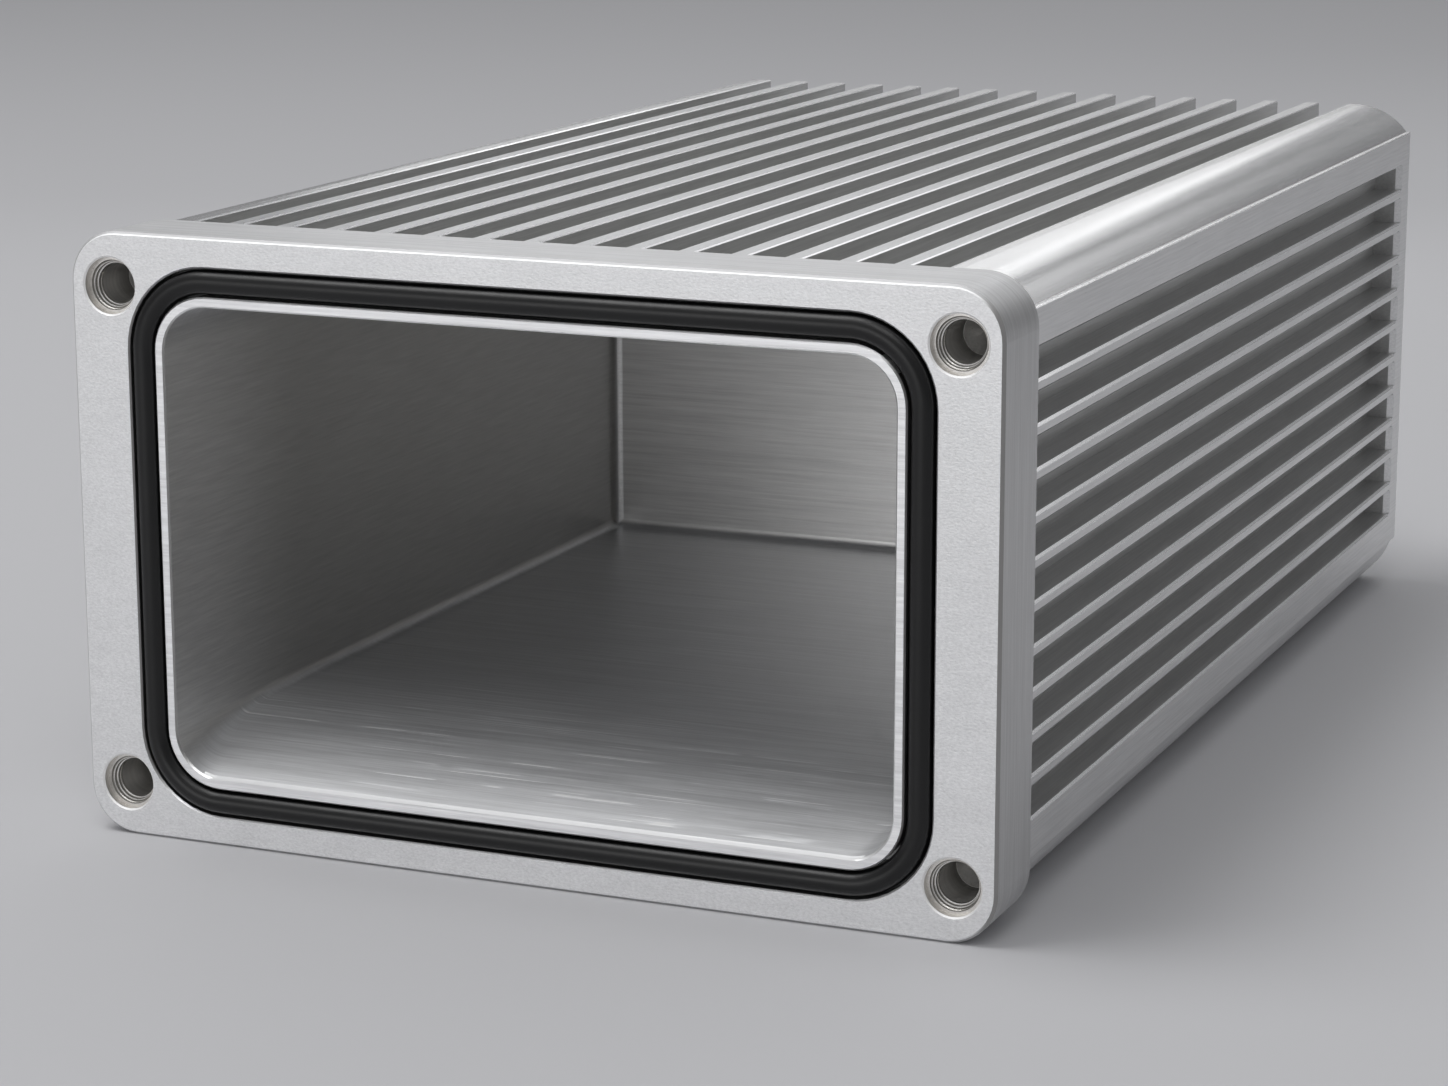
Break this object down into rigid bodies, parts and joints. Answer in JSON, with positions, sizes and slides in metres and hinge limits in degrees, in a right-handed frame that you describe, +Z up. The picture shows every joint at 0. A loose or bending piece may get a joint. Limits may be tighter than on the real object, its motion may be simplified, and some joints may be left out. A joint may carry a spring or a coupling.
{
  "type": "machined aluminium enclosure",
  "caption": "Open-fronted machined enclosure with a deep pocket, cooling grooves on its top and sides, tapped corner holes and a rubber face seal.",
  "frame": {"origin": "centre of the base, midway along the enclosure and its seal", "axes": "+Z up, -Y out of the open front, +X to the right seen from the front"},
  "size_m": [0.12, 0.1976, 0.076],
  "materials": {
    "aluminium": "satin machined, bare",
    "seal_rubber": "smooth black moulded rubber"
  },
  "bodies": {
    "root": {"enclosure_body": "aluminium", "seal_ring": "seal_rubber"}
  },
  "joints": []
}
